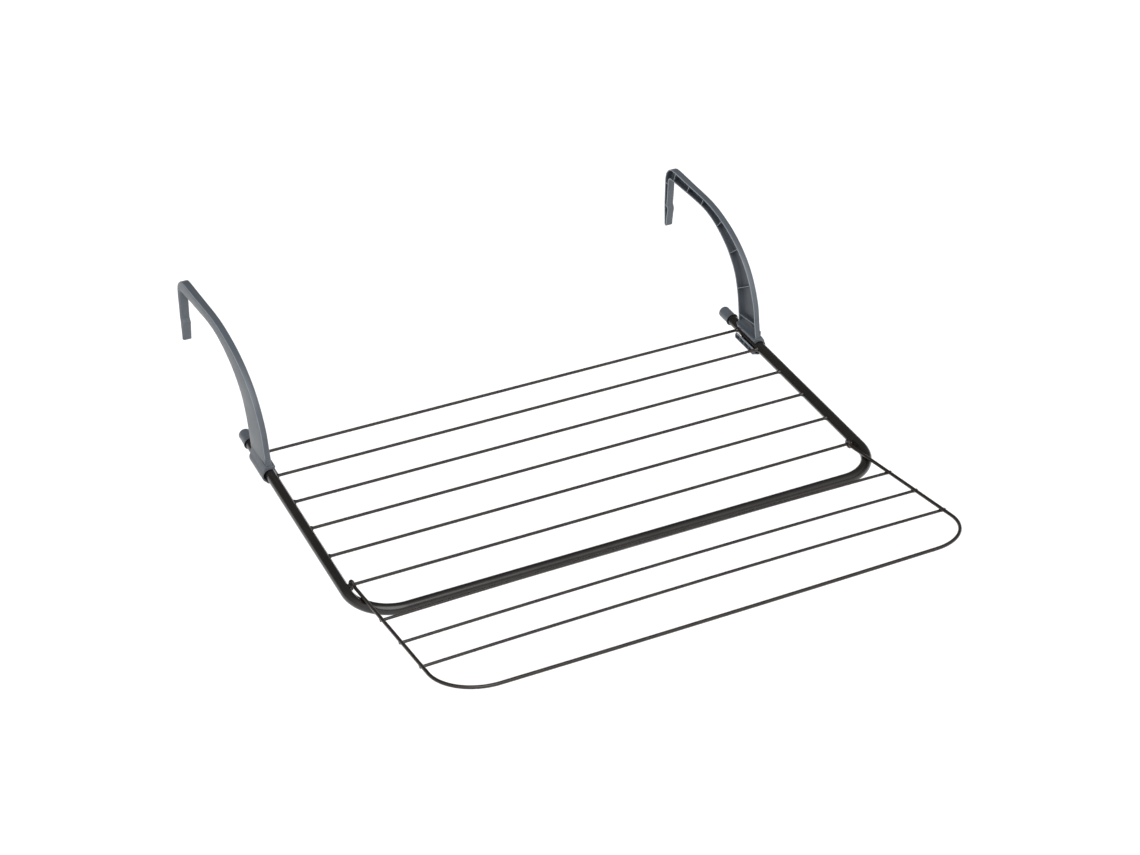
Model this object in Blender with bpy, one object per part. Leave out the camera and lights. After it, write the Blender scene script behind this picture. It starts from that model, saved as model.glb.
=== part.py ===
"""Hang-on folding drying rack: a bent tube frame, two swivelling hook arms and a fold-out wire wing.

Frame: +X to the rack's right, +Y towards the wall or parapet it hangs on, +Z up. The origin is
midway between the two end caps' flat back faces, on the plane of the tube's axis.
Lengths are metres. Angles are degrees where a name ends in _DEG.
"""

import math

import bmesh
import bpy
from mathutils import Matrix, Vector

MM = 0.001
GAP = 0.3 * MM                      # left between pieces that touch

# Main frame: one bent tube and six straight wires
TUBE_PITCH = 588 * MM               # between the axes of the two side tubes
TUBE_OD = 11.8 * MM
TUBE_WALL = 1.0 * MM
FRONT_TUBE_Y = -349.1 * MM          # axis of the front run
CORNER_RADIUS = 46 * MM             # on the tube's axis
WIRE_DIA = 3.0 * MM
FIRST_WIRE_Y = -43.1 * MM           # the wire nearest the wall
WIRE_STEPS = (46 * MM, 51.5 * MM, 50 * MM, 51.4 * MM, 52.5 * MM)    # the first holds the sleeve
WELD_DIA = 4.2 * MM
WELD_LENGTH = 2.2 * MM

# End caps
CAP_OD = 13.6 * MM
CAP_LENGTH = 21 * MM
CAP_FLOOR = 1.8 * MM
CAP_LIP = 0.5 * MM                  # flared rim
CAP_ROUND = 2.2 * MM

# Wing: one bent wire with an eye at each end, and three straight wires welded under it
WING_WIRE_DIA = 3.5 * MM
WING_PITCH = 568.4 * MM             # between the side wires' axes
WING_LENGTH = 248.5 * MM            # hinge axis to front wire axis
WING_CORNER_RADIUS = 51 * MM
WING_TILT_DEG = 10.4                # the side wires rest on the tube's front corners
WING_CROSSBAR_DIA = 3.1 * MM
WING_CROSSBARS = (76 * MM, 126 * MM, 177.5 * MM)        # from the hinge axis
CROSSBAR_OVERHANG = 6.5 * MM        # past the right side wire's axis
CROSSBAR_BOW = 2.4 * MM             # rise of its middle, sprung up between the side wires
EYE_CLEARANCE = 0.35 * MM
EYE_DRIFT = 2.0 * MM                # the loop leans towards the tube
EYE_START_DEG = 45                  # where the loop leaves the straight run
EYE_END_DEG = 300                   # the wire's cut end
EYE_STEPS = 15

# Dents pressed in the tube's corners, where the wing's side wires lie
DENT_FLAT = 2.6 * MM                # half width of the dent's floor
DENT_FADE = 3.0 * MM                # further out, the dent rises by DENT_RISE over this width
DENT_RISE = 3.0 * MM

# Hook arm, an open channel moulded in one with its C-shaped sleeve
ARM_INNER_X = -2.9 * MM             # open side at the sleeve, outwards from the tube's axis
ARM_OUTER_X = 4.1 * MM              # closed side
ARM_WIDENING = 1.5                  # per metre: the channel is a third wider at the hook
ARM_WALL = 2.0 * MM
ARM_RIB = 1.4 * MM
ARM_SPLAY = math.tan(math.radians(2.17))                # outwards, over the arm's length
ARM_PLAY = -0.7 * MM                # both arms lie against the tubes' right-hand sides
SLEEVE_LENGTH = 41.4 * MM
SLEEVE_BORE_RADIUS = 7.2 * MM
SLEEVE_WALL = 1.7 * MM
SLEEVE_DROP = 0.6 * MM              # the bore sits a little lower than the tube
SLEEVE_CELLS = 4
BORE_OVERRUN = 8.0 * MM             # clears the tube under the channel's back edge
CELL_RIB = 1.6 * MM

TUBE_X = TUBE_PITCH / 2
TUBE_RADIUS = TUBE_OD / 2
WIRE_RADIUS = WIRE_DIA / 2
WING_WIRE_RADIUS = WING_WIRE_DIA / 2
WING_X = WING_PITCH / 2
WIRE_YS = [FIRST_WIRE_Y - sum(WIRE_STEPS[:i]) for i in range(len(WIRE_STEPS) + 1)]
HINGE_Y = WIRE_YS[-1]
SLEEVE_Y = FIRST_WIRE_Y - WIRE_STEPS[0] / 2             # middle of the sleeve
TUBE_END_Y = -CAP_FLOOR - GAP

# The arm's two edges, upper then lower, in pairs that face each other across the channel.
# Millimetres back from the first wire and up from the tube's axis.
ARM_PAIRS = (
    ((-40.5, 6.0), (3.0, 6.0)),
    ((-35.4, 26.0), (4.6, 18.6)),
    ((-30.2, 47.6), (7.5, 34.0)),
    ((-18.8, 68.6), (11.6, 48.6)),
    ((-4.0, 85.3), (19.5, 65.6)),
    ((15.4, 98.5), (35.0, 82.0)),
    ((35.5, 107.4), (50.6, 92.0)),
    ((56.8, 113.3), (68.8, 99.9)),
    ((80.0, 117.2), (87.6, 104.7)),
    ((104.0, 118.2), (110.0, 106.2)),
    ((141.0, 116.7), (147.5, 103.9)),
    ((177.5, 115.3), (183.0, 101.0)),
)
RIB_PAIRS = (1, 3, 5, 7, 9, 10, 11)                     # pairs that carry a cross rib
STEPS_BETWEEN_PAIRS = 3
# The hook, from the top run round the outside and down the leg, then up its inner face.
HOOK_CENTRE = (186.5, 97.3)
HOOK_ROUND = 17.5                   # radius of the outside bend
LEG_OUTSIDE = ((204.0, 60.0), (202.2, 35.0), (200.6, 32.5))
LEG_INSIDE = ((198.2, 32.0), (194.4, 57.0), (196.8, 62.5), (195.4, 90.0))
THROAT_CENTRE = (188.4, 93.6)
THROAT_ROUND = 7.0
LEG_RIB_HEIGHT = 91.0               # the rib that closes the leg's upper pocket
BEND_START_DEG = 84                 # where the bend's pocket starts, just past the top run's last rib
# Pockets of the hook: inner corners of the bend, the leg above the pad, and the pad.
BEND_POCKET = ((181.0, 113.2), (193.6, 99.0), (190.0, 102.4), (186.0, 103.0))
SHANK_POCKET = ((202.0, 90.3), (202.0, 60.7), (198.6, 63.0), (197.4, 90.3))
PAD_POCKET = ((202.0, 59.3), (200.4, 36.5), (199.8, 35.5), (196.9, 57.0))

# The sleeve's section, in millimetres outwards and up from the tube's axis
SADDLE_TOP = ((6.4, 8.6), (4.6, 10.4))
UPPER_LIP = ((-4.6, 10.4), (-6.0, 9.8), (-6.3, 8.7), (-3.6, 4.6))
LOWER_STRIP = ((-3.6, -3.0), (-7.8, -3.0), (-9.6, -6.4), (-9.6, -8.8))
MOUTH = ((-6.3, 8.0), (-14.0, 8.0), (-14.0, -3.0))
CELL_SECTION = ((-7.0, -7.7), (-12.0, -7.7), (-12.0, -4.4), (-7.0, -4.4))
SADDLE_FLOOR = 9.6                  # height of the channel's floor over the sleeve
SLEEVE_ARC_DEG = (-115, 38)         # the sleeve's round outside, from its lower end to the saddle
BORE_ARC_DEG = (-160, 134)          # the bore, between the two edges of its mouth

TUBE_SIDES = 20
WIRE_SIDES = 12
CAP_SIDES = 24
BOW_STEPS = 14
SHARP_EDGE_DEG = 35
CORNER_COARSE_DEG = (0, 10, 62, 71, 80, 90)             # stations round a corner, away from the dent
CORNER_FINE_DEG = range(-18, 15, 2)                     # stations near the dent, from its middle


def clear_scene():
    for obj in list(bpy.data.objects):
        bpy.data.objects.remove(obj, do_unlink=True)


def material(name, colour, roughness, metallic=0.0):
    """A Principled material with one colour (linear RGB)."""
    made = bpy.data.materials.new(name)
    made.use_nodes = True
    shader = made.node_tree.nodes["Principled BSDF"]
    shader.inputs["Base Color"].default_value = (*colour, 1)
    shader.inputs["Roughness"].default_value = roughness
    shader.inputs["Metallic"].default_value = metallic
    made.diffuse_color = (*colour, 1)
    return made


def add_object(name, bm, finish, origin=(0, 0, 0), parent=None):
    """Turn a bmesh in world coordinates into an object whose origin is at the given point."""
    bmesh.ops.recalc_face_normals(bm, faces=bm.faces)
    bmesh.ops.translate(bm, vec=-Vector(origin), verts=bm.verts)
    mesh = bpy.data.meshes.new(name)
    bm.to_mesh(mesh)
    bm.free()
    mesh.shade_smooth()
    mesh.set_sharp_from_angle(angle=math.radians(SHARP_EDGE_DEG))
    obj = bpy.data.objects.new(name, mesh)
    bpy.context.scene.collection.objects.link(obj)
    obj.location = origin
    if parent:
        obj.parent = parent
        obj.matrix_parent_inverse = Matrix.Translation(-parent.location)
    if finish:
        obj.data.materials.append(finish)
    return obj


def add_empty(name, location):
    empty = bpy.data.objects.new(name, None)
    bpy.context.scene.collection.objects.link(empty)
    empty.location = location
    return empty


def ring(bm, points):
    return [bm.verts.new(point) for point in points]


def bridge(bm, first, second):
    """Quads between two rings with the same number of vertices."""
    count = len(first)
    for i in range(count):
        j = (i + 1) % count
        bm.faces.new((first[i], first[j], second[j], second[i]))


def turned(bm, axis_start, axis_direction, profile, sides):
    """A solid turned about an axis. The profile is (distance along the axis, radius) pairs."""
    turn = axis_direction.to_track_quat("Z", "Y")
    rings = []
    for along, radius in profile:
        points = []
        for i in range(sides):
            angle = 2 * math.pi * i / sides
            local = Vector((radius * math.cos(angle), radius * math.sin(angle), along))
            points.append(axis_start + turn @ local)
        rings.append(ring(bm, points))
    for first, second in zip(rings, rings[1:]):
        bridge(bm, first, second)
    bm.faces.new(rings[0])
    bm.faces.new(rings[-1])


def prism(bm, outline, to_world, low, high):
    """An outline in two coordinates, extruded from low to high in the third."""
    bottom = ring(bm, [to_world(a, b, low) for a, b in outline])
    top = ring(bm, [to_world(a, b, high) for a, b in outline])
    bridge(bm, bottom, top)
    bm.faces.new(bottom)
    bm.faces.new(top)


def arc(centre, radius, start_deg, end_deg, steps):
    """Points on a circle in two coordinates, both ends included."""
    points = []
    for i in range(steps + 1):
        angle = math.radians(start_deg + (end_deg - start_deg) * i / steps)
        points.append((centre[0] + radius * math.cos(angle), centre[1] + radius * math.sin(angle)))
    return points


def smooth_run(points, steps):
    """Catmull-Rom points through a list of points in two coordinates."""
    line = [Vector(point) for point in points]
    line = [2 * line[0] - line[1]] + line + [2 * line[-1] - line[-2]]
    out = []
    for before, start, end, after in zip(line, line[1:], line[2:], line[3:]):
        for i in range(steps):
            t = i / steps
            out.append(
                0.5
                * (
                    2 * start
                    + (end - before) * t
                    + (2 * before - 5 * start + 4 * end - after) * t * t
                    + (3 * start - before - 3 * end + after) * t * t * t
                )
            )
    out.append(line[-2])
    return out


# ---------------------------------------------------------------- main tube

def corner_angles():
    """Degrees round a corner, closer together where the dent is pressed."""
    crossing = math.degrees(math.acos((WING_X - TUBE_X + CORNER_RADIUS) / CORNER_RADIUS))
    fine = [crossing + step for step in CORNER_FINE_DEG]
    coarse = [a for a in CORNER_COARSE_DEG if a < fine[0] - 3 or a > fine[-1] + 3]
    return sorted(fine + coarse)


def tube_stations():
    """Stations along the tube: centre and sideways direction, from the right end to the left."""
    centre_x = TUBE_X - CORNER_RADIUS
    centre_y = FRONT_TUBE_Y + CORNER_RADIUS
    right = [(Vector((TUBE_X, TUBE_END_Y, 0)), Vector((1, 0, 0)))]
    for degrees in corner_angles():
        angle = math.radians(degrees)
        outwards = Vector((math.cos(angle), -math.sin(angle), 0))
        right.append((Vector((centre_x, centre_y, 0)) + CORNER_RADIUS * outwards, outwards))
    left = [(Vector((-c.x, c.y, 0)), Vector((-o.x, o.y, 0))) for c, o in reversed(right)]
    return right + left


def dented(point, depth):
    """Lower a point of the tube's skin to the underside of the wing's side wire."""
    if point.y > FRONT_TUBE_Y + CORNER_RADIUS:
        return point
    fade = max(0.0, abs(abs(point.x) - WING_X) - DENT_FLAT) / DENT_FADE
    wire_axis_z = (HINGE_Y - point.y) * math.tan(math.radians(WING_TILT_DEG))
    limit = wire_axis_z - WING_WIRE_RADIUS - GAP - depth + DENT_RISE * fade * fade
    if point.z > limit:
        point.z = limit
    return point


def make_main_tube(finish):
    bm = bmesh.new()
    skins = []
    for radius, depth in ((TUBE_RADIUS, 0.0), (TUBE_RADIUS - TUBE_WALL, TUBE_WALL)):
        rings = []
        for centre, outwards in tube_stations():
            points = []
            for i in range(TUBE_SIDES):
                angle = 2 * math.pi * i / TUBE_SIDES
                offset = radius * (math.cos(angle) * outwards + math.sin(angle) * Vector((0, 0, 1)))
                points.append(dented(centre + offset, depth))
            rings.append(ring(bm, points))
        for first, second in zip(rings, rings[1:]):
            bridge(bm, first, second)
        skins.append(rings)
    outer, inner = skins
    bridge(bm, outer[0], inner[0])
    bridge(bm, outer[-1], inner[-1])
    return add_object("main_tube", bm, finish)


def make_main_wire(number, y, finish):
    """A straight wire butted between the side tubes, thickened at its ends by the weld."""
    end = TUBE_X - TUBE_RADIUS - GAP
    weld = 0.0 if y == HINGE_Y else WELD_DIA / 2 - WIRE_RADIUS      # the hinge wire stays plain
    profile = [
        (0, WIRE_RADIUS + weld),
        (WELD_LENGTH * 0.5, WIRE_RADIUS + weld * 0.8),
        (WELD_LENGTH, WIRE_RADIUS),
        (2 * end - WELD_LENGTH, WIRE_RADIUS),
        (2 * end - WELD_LENGTH * 0.5, WIRE_RADIUS + weld * 0.8),
        (2 * end, WIRE_RADIUS + weld),
    ]
    bm = bmesh.new()
    turned(bm, Vector((-end, y, 0)), Vector((1, 0, 0)), profile, WIRE_SIDES)
    return add_object(f"main_wire_{number}", bm, finish)


def make_end_cap(name, side, finish):
    """A cup pushed over the tube's end: flat back face, rounded edge, flared rim."""
    outer = CAP_OD / 2
    bore = TUBE_RADIUS + GAP
    rounding = [
        (CAP_ROUND * (1 - math.cos(math.radians(a))), outer - CAP_ROUND * (1 - math.sin(math.radians(a))))
        for a in (0, 30, 60, 90)
    ]
    profile = rounding + [
        (CAP_LENGTH - 3 * CAP_LIP, outer),
        (CAP_LENGTH - CAP_LIP, outer + 0.5 * CAP_LIP),
        (CAP_LENGTH, outer + CAP_LIP),
        (CAP_LENGTH, bore + CAP_LIP),
        (CAP_LENGTH - 2 * CAP_LIP, bore),
        (CAP_FLOOR, bore),
    ]
    bm = bmesh.new()
    turned(bm, Vector((side * TUBE_X, 0, 0)), Vector((0, -1, 0)), profile, CAP_SIDES)
    return add_object(name, bm, finish)


# ---------------------------------------------------------------- wing

def on_wing(x, along, above=0.0):
    """A world point on the wing at rest: across, out from the hinge, above the side wires' plane."""
    tilt = math.radians(WING_TILT_DEG)
    return Vector(
        (
            x,
            HINGE_Y - along * math.cos(tilt) + above * math.sin(tilt),
            along * math.sin(tilt) + above * math.cos(tilt),
        )
    )


def wing_side_path():
    """The right side wire: its eye from the cut end, the straight run, then the front corner."""
    loop = WIRE_RADIUS + EYE_CLEARANCE + WING_WIRE_RADIUS
    path = []
    for i in range(EYE_STEPS + 1):
        share = 1 - i / EYE_STEPS
        angle = math.radians(EYE_START_DEG + (EYE_END_DEG - EYE_START_DEG) * share)
        drift = EYE_DRIFT * share
        path.append(on_wing(WING_X + drift, loop * math.cos(angle), loop * math.sin(angle)))
    path.append(on_wing(WING_X, 1.15 * loop, 0.45 * loop))
    path.append(on_wing(WING_X, 1.75 * loop, 0.1 * loop))
    path.append(on_wing(WING_X, 2.5 * loop, 0))
    corner = (WING_X - WING_CORNER_RADIUS, WING_LENGTH - WING_CORNER_RADIUS)
    for x, along in arc(corner, WING_CORNER_RADIUS, 0, 90, 10):
        path.append(on_wing(x, along))
    return path


def make_wing_frame(finish, parent):
    right = wing_side_path()
    left = [Vector((-point.x, point.y, point.z)) for point in reversed(right)]
    curve = bpy.data.curves.new("wing_frame", "CURVE")
    curve.dimensions = "3D"
    curve.bevel_depth = WING_WIRE_RADIUS
    curve.bevel_resolution = 3
    curve.use_fill_caps = True
    hinge = Vector((0, HINGE_Y, 0))
    spline = curve.splines.new("POLY")
    path = right + left
    spline.points.add(len(path) - 1)
    for target, point in zip(spline.points, path):
        target.co = (*(point - hinge), 1)
    obj = bpy.data.objects.new("wing_frame", curve)
    bpy.context.scene.collection.objects.link(obj)
    obj.parent = parent
    curve.materials.append(finish)
    return obj


def make_wing_crossbar(number, along, finish, parent):
    """A bowed wire under the side wires, flush on the left and with a round knob on the right."""
    radius = WING_CROSSBAR_DIA / 2
    below = -(WING_WIRE_RADIUS + radius + GAP)
    left_end = WING_X + WING_WIRE_RADIUS
    length = left_end + WING_X + CROSSBAR_OVERHANG
    knob_start = length - 5 * radius
    shaft = [(knob_start * i / BOW_STEPS, radius) for i in range(1, BOW_STEPS + 1)]
    knob = [(knob_start + 2.5 * radius, 1.25 * radius), (length - radius, 1.25 * radius)]
    profile = [(0, 0.6 * radius), (0.5 * radius, radius)] + shaft + knob + [(length, 0.6 * radius)]
    bm = bmesh.new()
    turned(bm, Vector((-left_end, 0, 0)), Vector((1, 0, 0)), profile, WIRE_SIDES)
    for vertex in bm.verts:
        share = min(1.0, abs(vertex.co.x) / WING_X)
        rise = CROSSBAR_BOW * (1 - share * share)
        vertex.co += on_wing(0, along, below + rise)
    return add_object(f"wing_crossbar_{number}", bm, finish, parent.location, parent)


# ---------------------------------------------------------------- hook arms

def arm_point(side):
    """Coordinates of the arm: back from the first wire, up (both mm), outwards from the tube."""
    def to_world(back, up, outwards):
        y = FIRST_WIRE_Y + back * MM
        reach = y - SLEEVE_Y
        x = TUBE_X + outwards * (1 + ARM_WIDENING * reach) + ARM_SPLAY * reach
        return Vector((side * x + ARM_PLAY, y, up * MM))
    return to_world


def sleeve_point(side):
    """Coordinates of the sleeve's section: outwards and up (both mm), then along Y (metres)."""
    def to_world(outwards, up, y):
        return Vector((side * (TUBE_X + outwards * MM) + ARM_PLAY, y, up * MM))
    return to_world


def arm_edges():
    upper = smooth_run([pair[0] for pair in ARM_PAIRS], STEPS_BETWEEN_PAIRS)
    lower = smooth_run([pair[1] for pair in ARM_PAIRS], STEPS_BETWEEN_PAIRS)
    return upper, lower


def arm_outline():
    upper, lower = arm_edges()
    outline = [tuple(point) for point in upper]
    outline += arc(HOOK_CENTRE, HOOK_ROUND, 90, 0, 7)
    outline += list(LEG_OUTSIDE) + list(LEG_INSIDE)
    outline += arc(THROAT_CENTRE, THROAT_ROUND, 0, 85, 4)
    outline += [tuple(point) for point in reversed(lower)]
    return outline


def moved_towards(point, target, distance):
    direction = (Vector(target) - Vector(point)).normalized()
    return Vector(point) + distance * direction


def channel_pocket(upper, lower, first, last):
    """A pocket between two ribs, one wall thickness inside both edges of the channel."""
    wall = ARM_WALL / MM
    half_rib = ARM_RIB / MM / 2
    tops, bottoms = [], []
    for i in range(first, last + 1):
        top = moved_towards(upper[i], lower[i], wall)
        bottom = moved_towards(lower[i], upper[i], wall)
        if i == first:
            top = moved_towards(top, upper[i + 1], half_rib)
            bottom = moved_towards(bottom, lower[i + 1], half_rib)
        if i == last:
            top = moved_towards(top, upper[i - 1], half_rib)
            bottom = moved_towards(bottom, lower[i - 1], half_rib)
        tops.append(top)
        bottoms.append(bottom)
    return [tuple(point) for point in tops + bottoms[::-1]]


def bend_pocket():
    """The pocket in the hook's bend: from the last rib of the top run to the leg's upper rib."""
    wall = ARM_WALL / MM
    radius = HOOK_ROUND - wall
    shelf = LEG_RIB_HEIGHT + ARM_RIB / MM / 2
    bend = arc(HOOK_CENTRE, radius, BEND_START_DEG, 0, 5)
    foot = [(HOOK_CENTRE[0] + radius, shelf), (LEG_INSIDE[-1][0] + wall, shelf)]
    return [BEND_POCKET[0]] + bend + foot + list(BEND_POCKET[1:])


def floor_pocket(upper, lower):
    """The lowest pocket, between the first rib and the saddle over the sleeve."""
    wall = ARM_WALL / MM
    half_rib = ARM_RIB / MM / 2
    first = STEPS_BETWEEN_PAIRS * RIB_PAIRS[0]
    top = moved_towards(upper[first], lower[first], wall)
    bottom = moved_towards(lower[first], upper[first], wall)
    return [
        (top[0], top[1] - half_rib),
        (bottom[0], bottom[1] - half_rib),
        (bottom[0], SADDLE_FLOOR),
        (top[0], SADDLE_FLOOR),
    ]


def sleeve_sections():
    """The sleeve's outside with its saddle and two lips, and the space inside with its mouth."""
    centre = (0.0, -SLEEVE_DROP / MM)
    bore = SLEEVE_BORE_RADIUS / MM
    outside = arc(centre, bore + SLEEVE_WALL / MM, *SLEEVE_ARC_DEG, 16)
    outside += SADDLE_TOP + UPPER_LIP + LOWER_STRIP
    inside = arc(centre, bore, *BORE_ARC_DEG, 20) + list(MOUTH)
    return outside, inside


def add_cutter(target, name, bm, operation):
    """A hidden helper object and the Boolean that uses it."""
    cutter = add_object(name, bm, None, target.location, target.parent)
    cutter.hide_render = True
    cutter.display_type = "WIRE"
    boolean = target.modifiers.new(name, "BOOLEAN")
    boolean.operation = operation
    boolean.solver = "EXACT"
    boolean.object = cutter


def make_hook_arm(name, side, finish, parent):
    """The channel and the sleeve as one moulding, with its ribs left between the pockets."""
    at = arm_point(side)
    across = sleeve_point(side)
    upper, lower = arm_edges()
    half = SLEEVE_LENGTH / 2

    bm = bmesh.new()
    prism(bm, arm_outline(), at, ARM_INNER_X, ARM_OUTER_X)
    arm = add_object(name, bm, finish, parent.location, parent)

    outside, inside = sleeve_sections()
    bm = bmesh.new()
    prism(bm, outside, across, SLEEVE_Y - half, SLEEVE_Y + half)
    add_cutter(arm, f"{name}_sleeve_solid", bm, "UNION")

    bm = bmesh.new()
    prism(bm, inside, across, SLEEVE_Y - half - MM, SLEEVE_Y + half + BORE_OVERRUN)
    add_cutter(arm, f"{name}_bore_cutter", bm, "DIFFERENCE")

    bm = bmesh.new()
    pockets = [floor_pocket(upper, lower), bend_pocket(), SHANK_POCKET, PAD_POCKET]
    stations = [STEPS_BETWEEN_PAIRS * pair for pair in RIB_PAIRS]
    pockets += [channel_pocket(upper, lower, a, b) for a, b in zip(stations, stations[1:])]
    for pocket in pockets:
        prism(bm, pocket, at, ARM_INNER_X - 2 * MM, ARM_OUTER_X - ARM_WALL)
    cell = (SLEEVE_LENGTH - (SLEEVE_CELLS + 1) * CELL_RIB) / SLEEVE_CELLS
    for i in range(SLEEVE_CELLS):
        start = SLEEVE_Y - half + CELL_RIB + i * (cell + CELL_RIB)
        prism(bm, CELL_SECTION, across, start, start + cell)
    add_cutter(arm, f"{name}_pocket_cutter", bm, "DIFFERENCE")
    return arm


def main():
    clear_scene()
    black = material("black_enamel", (0.012, 0.011, 0.011), 0.25)
    grey = material("grey_plastic", (0.16, 0.175, 0.19), 0.5)

    make_main_tube(black)
    for number, y in enumerate(WIRE_YS, start=1):
        make_main_wire(number, y, black)
    make_end_cap("left_end_cap", -1, grey)
    make_end_cap("right_end_cap", 1, grey)

    hinge = add_empty("wing_hinge_axis", (0, HINGE_Y, 0))
    make_wing_frame(black, hinge)
    for number, along in enumerate(WING_CROSSBARS, start=1):
        make_wing_crossbar(number, along, black, hinge)

    for name, side in (("left_hook_arm", -1), ("right_hook_arm", 1)):
        pivot = add_empty(f"{name}_axis", (side * TUBE_X, SLEEVE_Y, 0))
        make_hook_arm(name, side, grey, pivot)


main()
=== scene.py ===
"""Hang-on folding drying rack: the finished surfaces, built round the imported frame.

Every place comes from the frame's own boxes. Sizes in the classes are millimetres unless a
name says otherwise; meshes are metres, in the frame's own axes: +X right, +Y towards the
wall, +Z up. The rack is a bent tube with welded wires, a fold-out wire wing that turns on
the front wire, and two moulded hook arms that swivel on the side tubes.
"""

import logging
import math
from dataclasses import dataclass
from enum import Enum, IntEnum

import bmesh
import bpy
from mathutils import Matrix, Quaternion, Vector


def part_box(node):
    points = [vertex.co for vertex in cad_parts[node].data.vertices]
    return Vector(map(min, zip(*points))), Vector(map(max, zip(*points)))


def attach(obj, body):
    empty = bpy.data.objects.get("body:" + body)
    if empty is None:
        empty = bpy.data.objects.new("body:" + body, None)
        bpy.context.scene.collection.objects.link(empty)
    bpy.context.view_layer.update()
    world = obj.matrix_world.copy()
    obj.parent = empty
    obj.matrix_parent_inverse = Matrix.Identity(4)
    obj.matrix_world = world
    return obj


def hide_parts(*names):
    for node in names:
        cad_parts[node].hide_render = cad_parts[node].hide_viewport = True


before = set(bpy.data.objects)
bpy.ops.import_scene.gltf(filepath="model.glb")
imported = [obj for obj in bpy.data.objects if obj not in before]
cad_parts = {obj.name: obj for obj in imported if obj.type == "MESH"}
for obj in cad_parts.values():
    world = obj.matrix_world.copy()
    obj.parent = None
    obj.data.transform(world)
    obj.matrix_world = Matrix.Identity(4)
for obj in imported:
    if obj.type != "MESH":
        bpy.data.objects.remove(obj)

MM = 0.001
SHARP_EDGE_DEG = 38.0
WIRE_SIDES = 24
LOG = logging.getLogger("drying_rack")

Pair = tuple[float, float]
Ring = list[Vector]


class Body(Enum):
    """The moving bodies of the frame."""

    FRAME = "frame"
    WING = "wing"
    LEFT_ARM = "left_arm"
    RIGHT_ARM = "right_arm"


class Slot(Enum):
    """The material slots of the record."""

    ENAMEL = "black_enamel"
    PLASTIC = "grey_plastic"


class Side(Enum):
    """The two sides of the rack, as the sign of X."""

    LEFT = -1
    RIGHT = 1


class Skin(IntEnum):
    """The skins of one moulding, as the places of their materials: its own plastic, a darker copy for
    painted shade and a paler copy for painted highlight.
    """

    SHOW = 0
    CORE = 1
    PAINTED_HIGHLIGHT = 2


# ---------------------------------------------------------------- finishes

def linear(hex_code: str) -> tuple[float, float, float, float]:
    """Turn an sRGB hex colour into a linear one.

    Args:
        hex_code: six hex digits after a hash.

    Returns:
        Linear red, green and blue, and an alpha of one.
    """
    channels = []
    for start in (1, 3, 5):
        value = int(hex_code[start:start + 2], 16) / 255
        channels.append(value / 12.92 if value <= 0.04045 else ((value + 0.055) / 1.055) ** 2.4)
    return (channels[0], channels[1], channels[2], 1.0)


def add_node(
    tree: bpy.types.NodeTree,
    kind: str,
    settings: dict[str, object] | None = None,
    links: dict[str, bpy.types.NodeSocket] | None = None,
) -> bpy.types.Node:
    """Add a node, set it up and link it.

    Args:
        tree: the node tree.
        kind: the node's type name.
        settings: values by input socket name, or by property name where there is no such socket.
        links: output sockets by the name of the input that they feed.

    Returns:
        The new node.
    """
    node = tree.nodes.new(kind)
    for key, value in (settings or {}).items():
        if key in node.inputs:
            node.inputs[key].default_value = value
        else:
            setattr(node, key, value)
    for key, socket in (links or {}).items():
        tree.links.new(socket, node.inputs[key])
    return node


@dataclass(frozen=True)
class Finish:
    """A real surface: its colours, gloss, and the grain and clouding of its skin."""

    name: str
    dark: str
    light: str
    gloss: Pair
    ior: float
    grain_mm: float
    grain_height_mm: float
    cloud_mm: float
    streak: float = 1.0
    grain_share: float = 0.25

    def material(self) -> bpy.types.Material:
        """Build the material once, and find it again after that.

        Returns:
            The node material.
        """
        found = bpy.data.materials.get(self.name)
        if found:
            return found
        made = bpy.data.materials.new(self.name)
        made.use_nodes = True
        tree = made.node_tree
        shader = tree.nodes["Principled BSDF"]
        shader.inputs["IOR"].default_value = self.ior
        place = add_node(tree, "ShaderNodeTexCoord")
        stretched = add_node(
            tree,
            "ShaderNodeMapping",
            {"Scale": (1.0, self.streak, 1.0)},
            {"Vector": place.outputs["Object"]},
        )
        cloud = add_node(
            tree,
            "ShaderNodeTexNoise",
            {"Scale": 1 / (self.cloud_mm * MM), "Detail": 4.0, "Roughness": 0.6},
            {"Vector": stretched.outputs["Vector"]},
        )
        grain = add_node(
            tree,
            "ShaderNodeTexNoise",
            {"Scale": 1 / (self.grain_mm * MM), "Detail": 3.0, "Roughness": 0.55},
            {"Vector": place.outputs["Object"]},
        )
        mixed = add_node(
            tree,
            "ShaderNodeMix",
            {"data_type": "FLOAT", "Factor": self.grain_share},
            {"A": cloud.outputs["Fac"], "B": grain.outputs["Fac"]},
        )
        ramp = add_node(tree, "ShaderNodeValToRGB", links={"Fac": mixed.outputs["Result"]})
        ramp.color_ramp.elements[0].position = 0.3
        ramp.color_ramp.elements[0].color = linear(self.dark)
        ramp.color_ramp.elements[1].position = 0.7
        ramp.color_ramp.elements[1].color = linear(self.light)
        rough = add_node(
            tree,
            "ShaderNodeMapRange",
            {"From Min": 0.3, "From Max": 0.7, "To Min": self.gloss[0], "To Max": self.gloss[1]},
            {"Value": cloud.outputs["Fac"]},
        )
        bump = add_node(
            tree,
            "ShaderNodeBump",
            {"Strength": 1.0, "Distance": self.grain_height_mm * MM},
            {"Height": grain.outputs["Fac"]},
        )
        tree.links.new(ramp.outputs["Color"], shader.inputs["Base Color"])
        tree.links.new(rough.outputs["Result"], shader.inputs["Roughness"])
        tree.links.new(bump.outputs["Normal"], shader.inputs["Normal"])
        return made


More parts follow.
